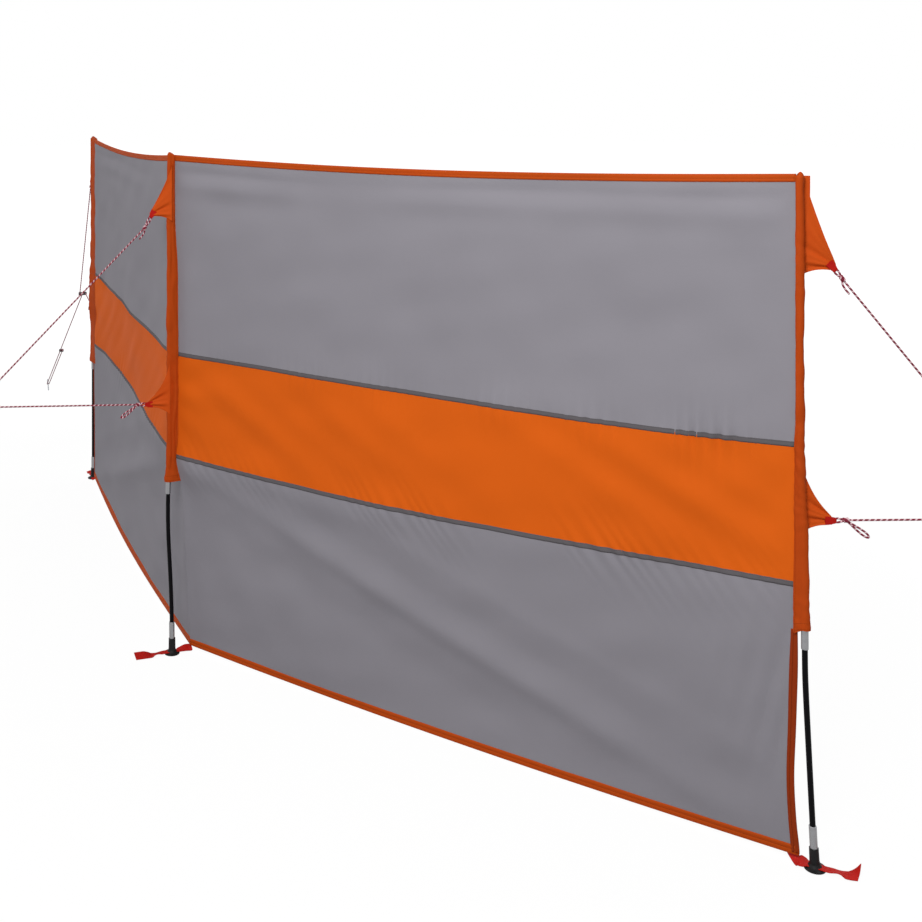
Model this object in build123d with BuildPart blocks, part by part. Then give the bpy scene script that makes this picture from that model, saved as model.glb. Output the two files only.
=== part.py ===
from build123d import *
import os
from math import cos, radians, sin

# A beach windbreak of two bays: banded cloth stretched between three poles, each held by a forked guy.
# Millimetres, +Z up. The origin is the middle of the middle foot's underside, +X runs along the row
# and +Y points to the sheltered side, towards which both bays fall back.

# Row
bay_length = 1830.0
fold_angle = 18.64
clearance = 0.3
overrun = 20.0
right_foot_shift = 32.0
right_foot_bearing = 82.0

# Foot and its webbing strap
flange_diameter = 46.0
flange_edge = 3.5
skirt_top = 15.0
skirt_waist = 14.5
skirt_waist_height = 6.8
boss_diameter = 20.0
boss_draft = 0.6
foot_height = 46.0
socket_floor = 14.0
strap_slot_floor = 5.0
strap_width = 22.0
strap_thickness = 1.4
strap_lap = 26.0
strap_run_in = 3.0
strap_run_out = 14.0
strap_tail = 108.0
middle_strap_bearing = 255.0

# Pole
pole_rise = 5.7
pole_diameter = 12.5
pole_wall = 2.2
section_count = 3
joint_gap = 0.6
bend_height = 430.0
bend_radius = 1200.0
ferrule_wall = 1.3
ferrule_length = 60.0
tip_ferrule_wall = 1.7
tip_ferrule_top = 95.0

# Sleeve
sleeve_bottom = 522.0
sleeve_wall = 0.8
sleeve_reach = 25.0
sleeve_sewn_width = 8.0
sleeve_cap = 3.0

# Cloth
sheet_bottom = 16.0
band_bottom = 601.0
band_top = 912.0
sheet_top = 1511.0
sheet_thickness = 1.0
top_sag = 24.0
fold_setback = 58.0
end_setback = 37.0
binding_width = 20.0
binding_wall = 0.6
tape_width = 12.0
tape_thickness = 0.5

# Guy patch and webbing loop
patch_thickness = 1.2
patch_strip_width = 14.0
patch_strip_top = 1502.0
patch_strip_bottom = 1456.0
patch_hollow_share = 0.06
upper_tip_height = 1318.0
upper_patch_reach = 56.0
upper_patch_rise = 160.0
upper_patch_drop = 18.0
lower_tip_height = 764.0
lower_patch_reach = 49.0
lower_patch_rise = 108.0
lower_patch_drop = 26.0
webbing_width = 18.0
webbing_thickness = 1.3
webbing_lap = 16.0
eye_distance = 7.0

# Guy rope
rope_diameter = 4.0
knot_diameter = 9.0
knot_distance = 32.0
eye_bend = 4.5
eye_corner = 8.0
junction_height = 772.0
guy_reach = 1780.0
peg_loop_height = 34.0
tensioner_share = 0.58
left_guy_bearing = 162.5
middle_guy_bearing = 246.5
right_guy_bearing = 54.5
left_junction_reach = 330.0
middle_junction_reach = 589.0
right_junction_reach = 509.0
rope_sides = 8

# Runner plates and pegs
runner_thickness = 5.0
runner_height = 15.0
runner_edge = 6.0
runner_corner = 4.0
junction_spread = 13.0
peg_diameter = 7.0
peg_head_rise = 16.0
peg_hook_radius = 11.0
peg_hook_drop = 8.0

# Sizes worked out from the ones above
up = Vector(0, 0, 1)
pole_radius = pole_diameter / 2
ferrule_radius = pole_radius + clearance + ferrule_wall
tip_ferrule_radius = pole_radius + clearance + tip_ferrule_wall
socket_radius = tip_ferrule_radius + clearance
pole_top = sheet_top + pole_rise
section_length = (pole_top - socket_floor) / section_count
sleeve_bore = ferrule_radius + clearance
sleeve_radius = sleeve_bore + sleeve_wall
slot_half = sheet_thickness / 2 + clearance
binding_half = slot_half + binding_wall
fold_reach = sleeve_reach + binding_half + clearance
binding_inset = clearance + binding_half
rope_radius = rope_diameter / 2
rope_hole = rope_radius + clearance
knot_radius = knot_diameter / 2
peg_turn = peg_diameter / 2 + rope_radius + clearance
strap_bed = strap_slot_floor + clearance
corner_bed = sheet_bottom - binding_wall - 2 * clearance - strap_thickness
patch_root = sleeve_radius + clearance
upper_tip = Vector(patch_root + upper_patch_reach, upper_tip_height)
lower_tip = Vector(patch_root + lower_patch_reach, lower_tip_height)


def bearing(angle):
    """The level direction at an angle from +X towards +Y."""
    return Vector(cos(radians(angle)), sin(radians(angle)), 0)


def level_plane(point, direction, height=0):
    """A level plane at a height over a point, with its x axis along a level direction."""
    return Plane(origin=point + up * height, x_dir=direction, z_dir=up)


def upright_plane(point, direction):
    """An upright plane through a point, with x along a level direction and y upwards."""
    return Plane(origin=point, x_dir=direction, z_dir=direction.cross(up))


# Places of the poles, the fold in the cloth behind the middle pole, the two bay lines and the cloth's lower
# corners. The right foot stands to one side of its pole, which bends to it below the sleeve.
middle_base = Vector(0, 0, 0)
right_base = bearing(fold_angle) * bay_length
left_base = bearing(180 - fold_angle) * bay_length
right_foot = right_base + bearing(right_foot_bearing) * right_foot_shift
middle_out = bearing(middle_guy_bearing)
fold_point = middle_out * -fold_reach
left_along = (left_base - fold_point).normalized()
right_along = (right_base - fold_point).normalized()
fold_foot = bearing(middle_strap_bearing) * -fold_setback
left_corner = left_base - left_along * end_setback
right_corner = right_foot - right_along * end_setback

# Each guy as a direction, with the reach at which its two legs meet. Each pole: its base, its foot, the way
# its sleeve points, the cloth's corner by it, and its guy.
left_guy = (bearing(left_guy_bearing), left_junction_reach)
middle_guy = (middle_out, middle_junction_reach)
right_guy = (bearing(right_guy_bearing), right_junction_reach)
poles = {
    "left": (left_base, left_base, left_along, left_corner, left_guy),
    "middle": (middle_base, middle_base, middle_out, fold_foot, middle_guy),
    "right": (right_base, right_foot, right_along, right_corner, right_guy),
}
bays = {"left": (left_base, left_along, left_corner), "right": (right_base, right_along, right_corner)}


# Poles: three tubes end to end, joined by ferrules, with a tip ferrule that stands in the foot
def tube(ground, low, high, outer, inner):
    """A round tube between two heights, added to the part being built."""
    with BuildSketch(ground.offset(low)) as ring:
        Circle(outer)
        Circle(inner, mode=Mode.SUBTRACT)
    extrude(ring.sketch, amount=high - low)


def foot_plane(base, foot):
    """A plane on the ground at a foot, square to the pole's lower end, which points to the bend above."""
    return Plane(origin=foot, z_dir=base + up * bend_height - foot)


def pole_sections(base, foot):
    ground = level_plane(base, Vector(1, 0, 0))
    leaning = foot_plane(base, foot).offset(socket_floor + clearance)
    joint = base + up * (socket_floor + section_length - joint_gap)
    with BuildPart() as sections:
        with BuildLine() as lowest:
            if foot == base:
                Line(leaning.origin, joint)
            else:
                FilletPolyline(leaning.origin, base + up * bend_height, joint, radius=bend_radius)
        with BuildSketch(leaning):
            Circle(pole_radius)
            Circle(pole_radius - pole_wall, mode=Mode.SUBTRACT)
        sweep(path=lowest.line)
        for index in range(1, section_count):
            low = socket_floor + clearance + index * section_length
            high = socket_floor + (index + 1) * section_length - joint_gap
            tube(ground, low, high, pole_radius, pole_radius - pole_wall)
    return sections.part


def pole_ferrules(base, foot):
    ground = level_plane(base, Vector(1, 0, 0))
    bore = pole_radius + clearance
    with BuildPart() as ferrules:
        tube(foot_plane(base, foot), socket_floor + clearance, tip_ferrule_top, tip_ferrule_radius, bore)
        for index in range(1, section_count):
            joint = socket_floor + index * section_length
            tube(ground, joint - ferrule_length / 2, joint + ferrule_length / 2, ferrule_radius, bore)
    return ferrules.part


# Foot: a moulded flange, skirt and boss, with a socket for the pole and a slot for the strap
def pole_foot(base, foot, corner):
    ground = level_plane(foot, (foot - corner).normalized())
    leaning = foot_plane(base, foot)
    rim = flange_diameter / 2
    neck = boss_diameter / 2 + boss_draft
    with BuildPart() as moulding:
        with BuildSketch(upright_plane(foot, (foot - corner).normalized())):
            with BuildLine():
                Polyline((0, skirt_top), (0, 0), (rim, 0), (rim, flange_edge))
                ThreePointArc((rim, flange_edge), (skirt_waist, skirt_waist_height), (neck, skirt_top))
                Line((neck, skirt_top), (0, skirt_top))
            make_face()
        revolve(axis=Axis(foot, up))
        with BuildSketch(leaning.offset(socket_floor / 2)):
            Circle(neck)
        with BuildSketch(leaning.offset(foot_height)):
            Circle(boss_diameter / 2)
        loft()
        with BuildSketch(leaning.offset(socket_floor)):
            Circle(socket_radius)
        extrude(amount=foot_height - socket_floor + overrun, mode=Mode.SUBTRACT)
        with BuildSketch(ground.offset(strap_slot_floor)):
            Rectangle(flange_diameter + overrun, strap_width + 2 * clearance)
        extrude(amount=strap_thickness + 2 * clearance, mode=Mode.SUBTRACT)
    return moulding.part


# Strap: webbing sewn under the cloth's corner, threaded through the foot, with a loose tail on the ground
def foot_strap(foot, corner):
    rim = flange_diameter / 2
    setback = (foot - corner).length
    lower = [
        (-setback - strap_lap, corner_bed),
        (-setback + strap_run_in, corner_bed),
        (-rim, strap_bed),
        (rim, strap_bed),
        (rim + strap_run_out, 0),
        (strap_tail, 0),
    ]
    upper = [(x, z + strap_thickness) for x, z in reversed(lower)]
    with BuildPart() as strap:
        with BuildSketch(upright_plane(foot, (foot - corner).normalized())):
            with BuildLine():
                Polyline(*lower, *upper, close=True)
            make_face()
        extrude(amount=strap_width / 2, both=True)
    return strap.part


# Sleeve: a flat pocket of cloth, round about the pole and sewn flat towards the sheet, closed at its top
def pocket(tip, radius, tip_radius):
    """The outline of a pocket round the pole that narrows to a tip behind it."""
    Circle(radius)
    with Locations((-tip + tip_radius, 0)):
        Circle(tip_radius)
    make_hull()


def pole_sleeve(base, out):
    ground = level_plane(base, out)
    inner_top = pole_top + clearance
    with BuildPart() as sleeve:
        with BuildSketch(ground.offset(sleeve_bottom)):
            pocket(sleeve_reach, sleeve_radius, sleeve_wall)
        extrude(amount=inner_top + sleeve_cap - sleeve_bottom)
        fillet(sleeve.faces().sort_by(Axis.Z)[-1].edges(), sleeve_wall / 2)
        with BuildSketch(ground.offset(sleeve_bottom)):
            pocket(sleeve_reach - sleeve_sewn_width, sleeve_bore, sleeve_wall / 2)
        extrude(amount=inner_top - sleeve_bottom, mode=Mode.SUBTRACT)
    return sleeve.part


# Cloth: in each bay an upper panel with a sagging top edge, a level band and a lower panel of two flat
# triangles, creased from the fold to the end's corner, which fall back to the two feet. Folded binding tape
# runs round the free edges, seam tape beside the band.
def bay_width(base):
    """The bay's length between the fold and the sleeve on the end pole."""
    return (base - fold_point).length - sleeve_reach


def bay_plane(along):
    """A bay's own upright plane, with its origin on the ground under the fold."""
    return upright_plane(fold_point, along)


def sagging_outline(base, inset, low, high, low_sag):
    """An outline between insets from the bay's two ends, with a top edge on the bay's sagging line
    and a bottom edge that is level or sags like it. The sag is a parabola's share of the bay's."""
    width = bay_width(base)
    start = inset
    end = width - inset
    middle = width / 2
    sag = top_sag * ((end - start) / width) ** 2
    drop = top_sag - sag
    corner = low - drop if low_sag else low
    with BuildLine() as outline:
        ThreePointArc((start, high - drop), (middle, high - top_sag), (end, high - drop))
        Line((end, high - drop), (end, corner))
        if low_sag:
            ThreePointArc((end, corner), (middle, low - top_sag), (start, corner))
        else:
            Line((end, corner), (start, corner))
        Line((start, corner), (start, high - drop))
    make_face(outline.edges())


def upper_panel(base, along):
    with BuildPart() as panel:
        with BuildSketch(bay_plane(along)):
            sagging_outline(base, clearance, band_top, sheet_top, False)
        extrude(amount=sheet_thickness / 2, both=True)
    return panel.part


def top_binding(base, along):
    low = sheet_top - binding_width
    slot_top = sheet_top + clearance
    with BuildPart() as binding:
        with BuildSketch(bay_plane(along)):
            sagging_outline(base, binding_inset, low, slot_top + binding_wall, True)
        extrude(amount=binding_half, both=True)
        with BuildSketch(bay_plane(along)):
            sagging_outline(base, -overrun, low - top_sag - overrun, slot_top, False)
        extrude(amount=slot_half, both=True, mode=Mode.SUBTRACT)
    return binding.part


def centre_band(base, along):
    width = bay_width(base)
    with BuildPart() as band:
        with BuildSketch(bay_plane(along)):
            with Locations((width / 2, (band_bottom + band_top) / 2)):
                Rectangle(width - 2 * clearance, band_top - band_bottom)
        extrude(amount=sheet_thickness / 2, both=True)
    return band.part


def seam_tapes(base, along):
    width = bay_width(base)
    gap = sheet_thickness / 2 + clearance
    front = bay_plane(along).offset(gap if base.X > 0 else -gap)
    with BuildPart() as tapes:
        with BuildSketch(front):
            with Locations((width / 2, band_bottom), (width / 2, band_top)):
                Rectangle(width - 2 * binding_inset, tape_width)
        extrude(amount=tape_thickness if base.X > 0 else -tape_thickness)
    return tapes.part


def lower_corners(base, along, corner):
    """The lower panel's corners: by the fold and by the sleeve under the band, the end of the crease just
    over the bottom binding, then the bottom corners at the end and at the fold."""
    inner_top = fold_point + along * clearance + up * band_bottom
    outer_top = base - along * (sleeve_reach + clearance) + up * band_bottom
    outer_foot = corner + up * sheet_bottom
    inner_foot = fold_foot + along * clearance + up * sheet_bottom
    square = (outer_foot - inner_top).cross(inner_foot - inner_top).normalized()
    edge = outer_top - outer_foot
    knee = outer_foot + (edge - square * edge.dot(square)).normalized() * (binding_width + 2 * clearance)
    return inner_top, outer_top, knee, outer_foot, inner_foot


def lower_panel(base, along, corner):
    inner_top, outer_top, knee, outer_foot, inner_foot = lower_corners(base, along, corner)
    with BuildPart() as panel:
        for others in ([outer_top], [outer_foot, inner_foot]):
            crease = knee - inner_top
            flat = Plane(origin=inner_top, x_dir=crease, z_dir=crease.cross(others[-1] - inner_top))
            outline = [flat.to_local_coords(point) for point in (inner_top, knee, *others)]
            with BuildSketch(flat):
                with BuildLine():
                    Polyline(*[(point.X, point.Y) for point in outline], close=True)
                make_face()
            extrude(amount=sheet_thickness / 2, dir=along.cross(up), both=True)
    return panel.part


def folded_tape(plane):
    """The section of binding tape folded over an edge of the cloth: a U that opens along -x."""
    depth = binding_width + clearance
    with BuildSketch(plane) as tape:
        with Locations((clearance + binding_wall, 0)):
            Rectangle(depth + binding_wall, 2 * binding_half, align=(Align.MAX, Align.CENTER))
        with Locations((clearance, 0)):
            Rectangle(depth + overrun, 2 * slot_half, align=(Align.MAX, Align.CENTER), mode=Mode.SUBTRACT)
    return tape.sketch.face()


def straight_binding(start, end, inside):
    """Binding tape along a straight edge of the cloth, on the side away from a third point of it."""
    run = (end - start).normalized()
    inward = inside - start
    outward = (run * inward.dot(run) - inward).normalized()
    with BuildPart() as binding:
        extrude(folded_tape(Plane(origin=start, x_dir=outward, z_dir=run)), amount=(end - start).length)
    return binding.part


def bottom_binding(base, along, corner):
    inner_top, outer_top, knee, outer_foot, inner_foot = lower_corners(base, along, corner)
    inset = (outer_foot - inner_foot).normalized() * binding_inset
    return straight_binding(inner_foot + inset, outer_foot - inset, inner_top)


def end_binding(base, along, corner):
    inner_top, outer_top, knee, outer_foot, inner_foot = lower_corners(base, along, corner)
    run = (outer_top - knee) / (outer_top - knee).Z
    top = knee + run * (sleeve_bottom - binding_inset - knee.Z)
    return straight_binding(knee + run * binding_inset, top, inner_top)


# Guy: two patches on the sleeve, each with a webbing loop, two rope legs that meet at a runner plate,
# and a rope from there round a ground peg and back to a second runner plate
def guy_point(base, way, reach, height):
    """A place by its reach along the guy and its height."""
    return base + way * reach + up * height


def pull_at(tip, meet):
    """The direction of the rope's pull at a patch's tip, in the guy's own upright plane."""
    return (Vector(meet, junction_height) - tip).normalized()


def hollow(start, end):
    """A point a little to the right of the middle of two points, for an edge that is drawn in."""
    step = end - start
    return (start + end) / 2 + Vector(step.Y, -step.X) * patch_hollow_share


def guy_patches(base, guy):
    way, meet = guy
    upper_shape = (upper_tip, upper_patch_rise, upper_patch_drop)
    lower_shape = (lower_tip, lower_patch_rise, lower_patch_drop)
    with BuildPart() as patches:
        for tip, rise, drop in (upper_shape, lower_shape):
            pull = pull_at(tip, meet)
            across = Vector(-pull.Y, pull.X) * (webbing_width / 2)
            high = tip + across
            low = tip - across
            top = Vector(patch_root, tip.Y + rise)
            root = Vector(patch_root, tip.Y - drop)
            stem = []
            if tip == upper_tip and base != middle_base:
                strip_edge = patch_root + patch_strip_width
                top = Vector(strip_edge, patch_strip_bottom)
                stem = [Vector(patch_root, patch_strip_top), Vector(strip_edge, patch_strip_top)]
            with BuildSketch(upright_plane(base, way)):
                with BuildLine():
                    ThreePointArc(top, hollow(top, high), high)
                    Line(high, low)
                    ThreePointArc(low, hollow(low, root), root)
                    Polyline(root, *stem, top)
                make_face()
            extrude(amount=patch_thickness / 2, both=True)
    return patches.part


def loop_frame(base, guy, tip):
    """The tip of a patch in space, the rope's pull there, and the direction across the webbing."""
    way, meet = guy
    pull = pull_at(tip, meet)
    place = base + way * tip.X + up * tip.Y
    direction = way * pull.X + up * pull.Y
    across = up * pull.X - way * pull.Y
    return place, direction, across


def guy_loops(base, guy):
    slot = patch_thickness / 2
    with BuildPart() as loops:
        for tip in (upper_tip, lower_tip):
            place, direction, across = loop_frame(base, guy, tip)
            with BuildSketch(Plane(origin=place, x_dir=direction, z_dir=across)):
                for growth, mode in ((webbing_thickness, Mode.ADD), (0, Mode.SUBTRACT)):
                    with BuildSketch(mode=Mode.PRIVATE) as fold:
                        with Locations((-webbing_lap / 2, 0)):
                            Rectangle(webbing_lap, 2 * (slot + growth))
                        with Locations((eye_distance, 0)):
                            Circle(rope_hole + growth)
                        make_hull()
                    add(fold.sketch, mode=mode)
            extrude(amount=webbing_width / 2, both=True)
    return loops.part


def rod(start, end, radius):
    """A straight round rod between two points, added to the part being built."""
    with BuildSketch(Plane(origin=start, z_dir=end - start)) as disc:
        Circle(radius)
    extrude(disc.sketch, amount=(end - start).length)


def knot(place, direction):
    """A rope's knot, as a barrel along a direction, added to the part being built."""
    rod(place - direction * knot_radius, place + direction * knot_radius, knot_radius)


def line_frame(base, guy):
    """Where the two legs meet, where the rope turns round the peg, and the way between them."""
    way, meet = guy
    start = guy_point(base, way, meet, junction_height)
    end = guy_point(base, way, guy_reach, peg_loop_height)
    return start, end, (end - start).normalized()


def guy_lines(base, guy):
    start, end, run = line_frame(base, guy)
    side = up.cross(guy[0])
    behind = runner_thickness / 2 + knot_radius + clearance
    with BuildPart() as lines:
        for tip, spread in ((upper_tip, junction_spread), (lower_tip, -junction_spread)):
            place, direction, across = loop_frame(base, guy, tip)
            eye = place + direction * eye_distance
            tied = eye + direction * knot_distance
            wide = across * (webbing_width / 2 + eye_corner)
            corners = [tied, eye + wide, eye - wide, tied - across * rope_radius]
            with BuildLine() as eye_path:
                FilletPolyline(*corners, radius=eye_bend)
            with BuildSketch(Plane(origin=tied, x_dir=side, z_dir=eye_path.line % 0)):
                RegularPolygon(rope_radius, rope_sides)
            sweep(path=eye_path.line)
            knot(tied, direction)
            hole = start + side * spread
            leg = (hole - tied).normalized()
            far = hole + leg * (behind / leg.dot(run))
            rod(tied, far, rope_radius)
            knot(far, run)
        near = start - run * behind
        turn = end - side * peg_turn
        back = end - side * (2 * peg_turn)
        length = (end - start).length
        stop = back - run * (length * (1 - tensioner_share) + behind)
        rod(near, end, rope_radius)
        rod(back, stop, rope_radius)
        with BuildSketch(Plane(origin=end, x_dir=side, z_dir=run)):
            RegularPolygon(rope_radius, rope_sides)
        revolve(axis=Axis(turn, side.cross(run)), revolution_arc=180)
        knot(near, run)
        knot(stop, run)
    return lines.part


def line_runners(base, guy):
    start, end, run = line_frame(base, guy)
    side = up.cross(guy[0])
    junction = Plane(origin=start, x_dir=side, z_dir=run)
    tension_point = start + (end - start) * tensioner_share - side * peg_turn
    tension = Plane(origin=tension_point, x_dir=side, z_dir=run)
    with BuildPart() as runners:
        for plane, half in ((junction, junction_spread), (tension, peg_turn)):
            with BuildSketch(plane):
                RectangleRounded(2 * (half + runner_edge), runner_height, runner_corner)
            extrude(amount=runner_thickness / 2, both=True)
        with BuildSketch(junction.offset(-overrun / 2)):
            Circle(rope_hole)
        extrude(amount=overrun, mode=Mode.SUBTRACT)
        with BuildSketch(tension.offset(-overrun / 2)):
            with Locations((-peg_turn, 0), (peg_turn, 0)):
                Circle(rope_hole)
        extrude(amount=overrun, mode=Mode.SUBTRACT)
        for tip, spread in ((upper_tip, junction_spread), (lower_tip, -junction_spread)):
            place, direction, across = loop_frame(base, guy, tip)
            tied = place + direction * (eye_distance + knot_distance)
            hole = start + side * spread
            with BuildSketch(Plane(origin=hole, z_dir=hole - tied)):
                Circle(rope_hole)
            extrude(amount=overrun / 2, both=True, mode=Mode.SUBTRACT)
    return runners.part


# Peg: a steel rod leaning square to its rope, hooked over at the top and driven into the ground
def ground_peg(base, guy):
    start, end, run = line_frame(base, guy)
    side = up.cross(guy[0])
    lean = run.cross(side)
    centre = end - side * peg_turn
    ground_end = centre - lean * (centre.Z / lean.Z + overrun)
    head = centre + lean * peg_head_rise
    hook_end = head + run * (2 * peg_hook_radius)
    with BuildPart() as peg:
        with BuildLine() as shaft:
            Line(ground_end, head)
            ThreePointArc(head, head + (run + lean) * peg_hook_radius, hook_end)
            Line(hook_end, hook_end - lean * peg_hook_drop)
        with BuildSketch(Plane(origin=ground_end, z_dir=lean)):
            Circle(peg_diameter / 2)
        sweep(path=shaft.line)
        split(bisect_by=Plane.XY, keep=Keep.TOP)
    return peg.part


def write(piece, name):
    piece.label = name
    export_step(piece, f"parts/{name}.step")


os.makedirs("parts", exist_ok=True)

for side_name, (base, foot, sleeve_out, corner, guy) in poles.items():
    write(pole_sections(base, foot), f"{side_name}_pole_sections")
    write(pole_ferrules(base, foot), f"{side_name}_pole_ferrules")
    write(pole_foot(base, foot, corner), f"{side_name}_pole_foot")
    write(foot_strap(foot, corner), f"{side_name}_foot_strap")
    write(pole_sleeve(base, sleeve_out), f"{side_name}_pole_sleeve")
    write(guy_patches(base, guy), f"{side_name}_guy_patches")
    write(guy_loops(base, guy), f"{side_name}_guy_loops")
    write(guy_lines(base, guy), f"{side_name}_guy_lines")
    write(line_runners(base, guy), f"{side_name}_line_runners")
    write(ground_peg(base, guy), f"{side_name}_ground_peg")

for side_name, (base, along, corner) in bays.items():
    write(upper_panel(base, along), f"{side_name}_upper_panel")
    write(centre_band(base, along), f"{side_name}_centre_band")
    write(lower_panel(base, along, corner), f"{side_name}_lower_panel")
    write(seam_tapes(base, along), f"{side_name}_seam_tapes")
    write(top_binding(base, along), f"{side_name}_top_binding")
    write(bottom_binding(base, along, corner), f"{side_name}_bottom_binding")
    write(end_binding(base, along, corner), f"{side_name}_end_binding")
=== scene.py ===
import bmesh
import bpy
import numpy as np
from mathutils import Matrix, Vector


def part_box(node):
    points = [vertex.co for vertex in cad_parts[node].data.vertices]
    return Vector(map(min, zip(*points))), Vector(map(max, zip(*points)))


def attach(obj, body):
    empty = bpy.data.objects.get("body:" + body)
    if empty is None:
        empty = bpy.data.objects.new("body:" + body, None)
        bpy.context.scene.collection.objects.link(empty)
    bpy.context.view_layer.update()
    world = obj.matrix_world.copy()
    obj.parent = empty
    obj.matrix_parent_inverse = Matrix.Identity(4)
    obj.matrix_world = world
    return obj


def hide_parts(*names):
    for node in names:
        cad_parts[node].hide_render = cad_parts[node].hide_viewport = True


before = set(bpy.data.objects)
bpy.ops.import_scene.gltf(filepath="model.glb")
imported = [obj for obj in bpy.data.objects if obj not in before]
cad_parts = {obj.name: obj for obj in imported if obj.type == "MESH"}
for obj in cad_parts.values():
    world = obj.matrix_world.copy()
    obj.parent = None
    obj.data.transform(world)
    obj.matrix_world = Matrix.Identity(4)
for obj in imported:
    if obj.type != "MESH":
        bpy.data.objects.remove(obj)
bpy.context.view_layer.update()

# Poles
# Black fibreglass tubes, three to a pole, drawn from glass and resin, so that faint streaks run along
# them. They stand end to end in metal ferrules, hidden in the sleeve above and bare below it. The pull of the
# cloth and of the guys bows the middle and the right pole a little, and the right one bends to its foot.
POLES = ("left", "middle", "right")
UP = np.array([0.0, 0.0, 1.0])
BAY_LENGTH = 1.830
FOLD_ANGLE = 18.64
BEND_HEIGHT = 0.430
POLE_RADIUS = 0.00625
POLE_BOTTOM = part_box("middle_pole_sections")[0].z
POLE_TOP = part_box("middle_pole_sections")[1].z
JOINT_HEIGHTS = (0.5149, 1.0158)
JOINT_GAP = 0.0003
TUBE_SIDES = 28
TUBE_CHAMFER = 0.0005


def screen_colour(red, green, blue):
    """A colour from its screen values of 0 to 255: a share c becomes ((c + 0.055) / 1.055) ** 2.4."""
    share = np.array([red, green, blue]) / 255
    return (*(((share + 0.055) / 1.055) ** 2.4), 1)


def new_finish(name, colour, sockets):
    """A material with its shader's colour and plain sockets set. Returns it with its node tree and shader."""
    material = bpy.data.materials.new(name)
    material.use_nodes = True
    tree = material.node_tree
    shader = tree.nodes["Principled BSDF"]
    shader.inputs["Base Color"].default_value = colour
    for socket, value in sockets.items():
        shader.inputs[socket].default_value = value
    return material, tree, shader


def add_node(tree, kind, sockets=None, **settings):
    """A node of a kind, with its settings, and each named socket set to a value or linked to an output."""
    made = tree.nodes.new(kind)
    for name, value in settings.items():
        setattr(made, name, value)
    for socket, value in (sockets or {}).items():
        if isinstance(value, bpy.types.NodeSocket):
            tree.links.new(value, made.inputs[socket])
        else:
            made.inputs[socket].default_value = value
    return made


def object_noise(tree, stretch, detail=2.0):
    """Noise on Object coordinates in metres, with so many grains to the metre along each axis."""
    place = add_node(tree, "ShaderNodeTexCoord").outputs["Object"]
    scaled = add_node(tree, "ShaderNodeMapping", {"Vector": place, "Scale": stretch}).outputs["Vector"]
    grains = add_node(tree, "ShaderNodeTexNoise", {"Vector": scaled, "Scale": 1.0, "Detail": detail})
    return grains.outputs["Fac"]


def reckon(tree, operation, *values):
    """The result of a maths node on numbers or outputs."""
    return add_node(tree, "ShaderNodeMath", dict(enumerate(values)), operation=operation).outputs["Value"]


def vary(tree, shader, factor, socket, low, high):
    """Drives a number of the shader from low to high as a factor goes from 0 to 1."""
    ramp = add_node(tree, "ShaderNodeMapRange", {"Value": factor, "To Min": low, "To Max": high})
    tree.links.new(ramp.outputs["Result"], shader.inputs[socket])


def tint(tree, shader, factor, dark, light):
    """Drives the shader's colour from a dark tone to a light one as a factor goes from 0 to 1."""
    mix = add_node(tree, "ShaderNodeMix", data_type="RGBA")
    tree.links.new(factor, mix.inputs["Factor"])
    mix.inputs["A"].default_value = dark
    mix.inputs["B"].default_value = light
    tree.links.new(mix.outputs["Result"], shader.inputs["Base Color"])


def emboss(tree, shader, height, depth, strength):
    """Bumps the shader by a height map of 0 to 1 that is so many metres deep."""
    bump = add_node(tree, "ShaderNodeBump", {"Height": height, "Distance": depth, "Strength": strength})
    tree.links.new(bump.outputs["Normal"], shader.inputs["Normal"])


def box_middle(low, high):
    """The middle of a box, brought down to the ground."""
    return np.array([(low.x + high.x) / 2, (low.y + high.y) / 2, 0.0])


def level(angle):
    """The level direction at an angle in degrees from +X towards +Y."""
    return np.array([np.cos(np.radians(angle)), np.sin(np.radians(angle)), 0.0])


def hump(value, middle, half_width):
    """A bell curve of height 1 round a middle value."""
    return np.exp(-(((value - middle) / half_width) ** 2))


def step(value, middle, half_width):
    """A soft step from 0 to 1 as a value passes a middle one."""
    return 0.5 + 0.5 * np.tanh((value - middle) / half_width)


GUY_WAYS = {"left": level(162.5), "middle": level(246.5), "right": level(54.5)}
BASES = {"left": BAY_LENGTH * level(180 - FOLD_ANGLE), "middle": 0 * UP,
         "right": BAY_LENGTH * level(FOLD_ANGLE)}
FEET = {pole: box_middle(*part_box(f"{pole}_pole_foot")) for pole in POLES}


def pole_axis(pole, height):
    """A pole's middle line: over its base, led to its foot by a bend that is a smooth maximum of 0 and
    1 - height / bend height, and bowed by soft steps and bell curves of the height."""
    height = np.asarray(height, float)
    lean = 1 - height / BEND_HEIGHT
    lean = (lean + np.sqrt(lean**2 + 0.01)) / 2
    bow = {"left": 0 * height,
           "middle": 0.0120 * hump(height, 0.42, 0.20) + 0.0070 * step(height, 0.62, 0.15),
           "right": -0.0100 * step(height, 0.80, 0.12)}[pole]
    bow_way = level(FOLD_ANGLE) if pole == "right" else GUY_WAYS["middle"]
    led = BASES[pole] + lean[..., None] * (FEET[pole] - BASES[pole])
    return led + bow[..., None] * bow_way + height[..., None] * UP


def path_length(points):
    """The distance run along a line of points, from its start."""
    return np.concatenate([[0.0], np.cumsum(np.linalg.norm(np.diff(points, axis=0), axis=1))])


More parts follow.
